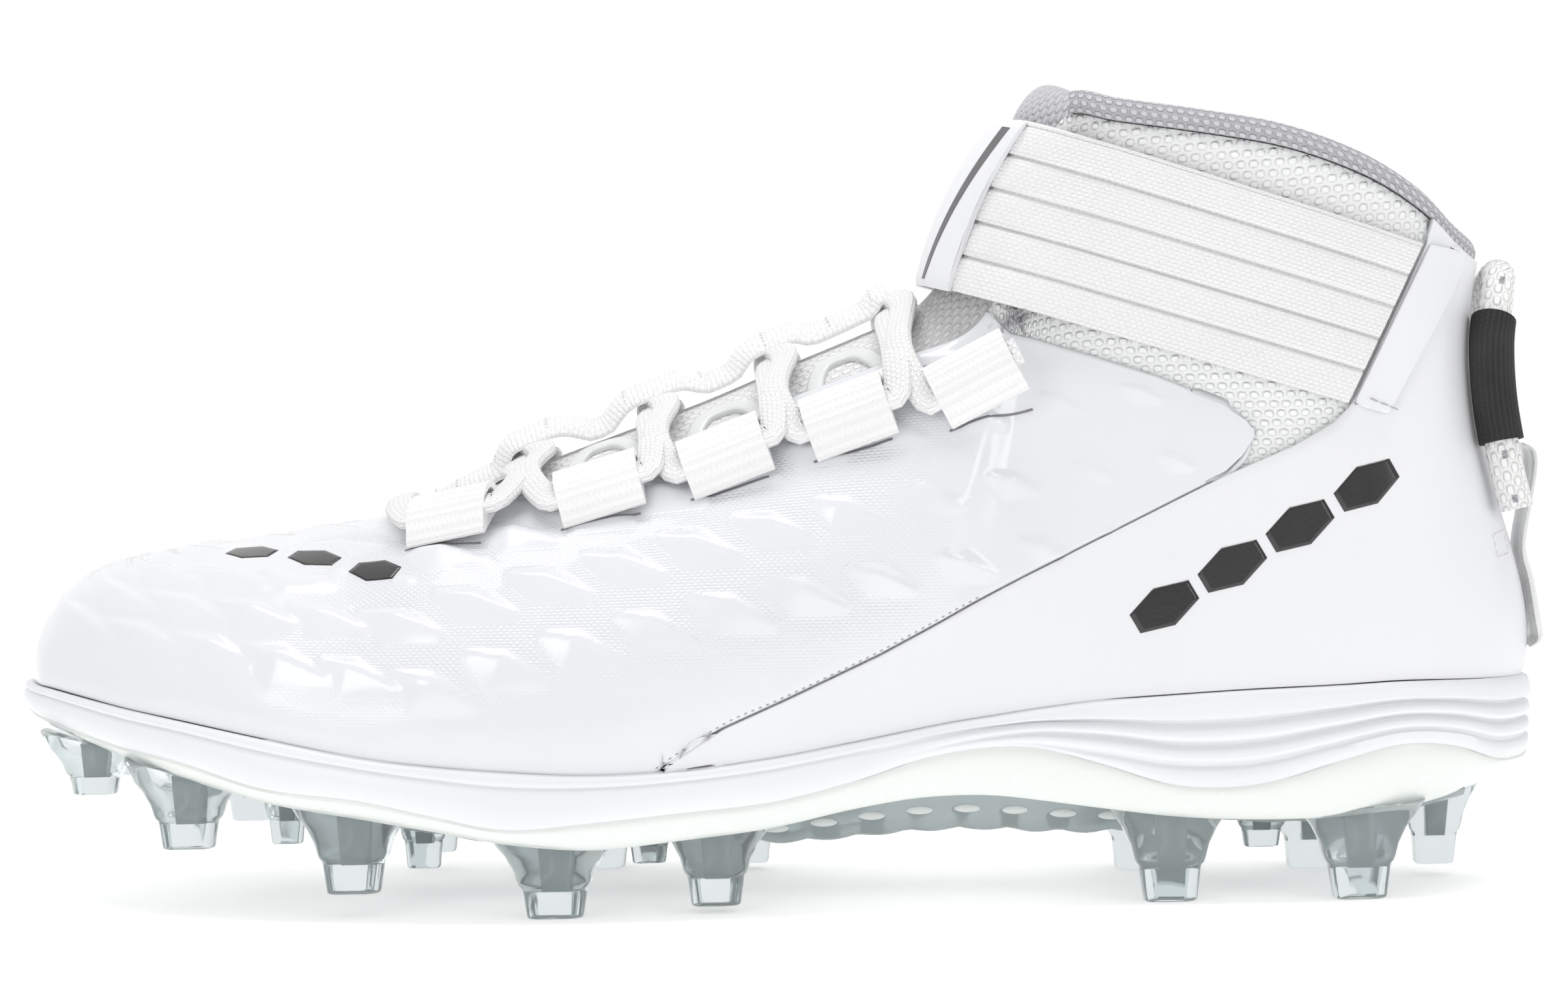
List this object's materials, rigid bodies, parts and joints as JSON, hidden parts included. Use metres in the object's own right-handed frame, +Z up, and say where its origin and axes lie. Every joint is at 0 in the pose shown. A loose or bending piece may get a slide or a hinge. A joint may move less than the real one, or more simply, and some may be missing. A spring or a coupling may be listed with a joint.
{
  "type": "american football cleat",
  "caption": "Mid-cut american football cleat, left foot: hollow laced upper, elastic ankle strap, padded tongue and collar, heel pull loop, and a clear moulded plate with studs",
  "frame": {"origin": "the middle of the footprint's bounding box, on the ground plane that the stud tips stand on", "axes": "+X from the toe to the heel, +Y towards the inner (medial) side of this left shoe, +Z up"},
  "size_m": [0.3002, 0.1054, 0.1578],
  "materials": {
    "glossy_skin": "glossy white moulded skin",
    "matt_synthetic": "smooth matt white synthetic",
    "ankle_mesh": "white hexagon knit",
    "midsole_foam": "white moulded foam with a satin skin",
    "clear_plate": "clear moulded plastic, faintly grey-green",
    "webbing": "white woven webbing and lace",
    "elastic": "white grooved elastic",
    "lining": "grey-lilac spacer mesh",
    "sleeve": "near-black woven sleeve"
  },
  "bodies": {
    "root": {"outsole_plate": "clear_plate", "midsole": "midsole_foam", "insole": "lining", "upper": "ankle_mesh", "vamp_shell": "glossy_skin", "heel_quarter": "matt_synthetic", "tongue": "ankle_mesh", "tongue_ribbon": "webbing", "lace_loop_lateral_1": "webbing", "lace_loop_lateral_2": "webbing", "lace_loop_lateral_3": "webbing", "lace_loop_lateral_4": "webbing", "lace_loop_lateral_5": "webbing", "lace_loop_medial_1": "webbing", "lace_loop_medial_2": "webbing", "lace_loop_medial_3": "webbing", "lace_loop_medial_4": "webbing", "lace_loop_medial_5": "webbing", "lace_bar": "webbing", "lace_cross_1": "webbing", "lace_cross_2": "webbing", "lace_cross_3": "webbing", "lace_cross_4": "webbing", "lace_end_lateral": "webbing", "lace_end_medial": "webbing", "strap": "elastic", "strap_front": "matt_synthetic", "strap_patch_lateral": "matt_synthetic", "strap_patch_medial": "matt_synthetic", "collar_lining": "lining", "pull_rope": "webbing", "pull_sleeve_lateral": "sleeve", "pull_sleeve_medial": "sleeve", "heel_tab": "matt_synthetic"}
  },
  "joints": []
}
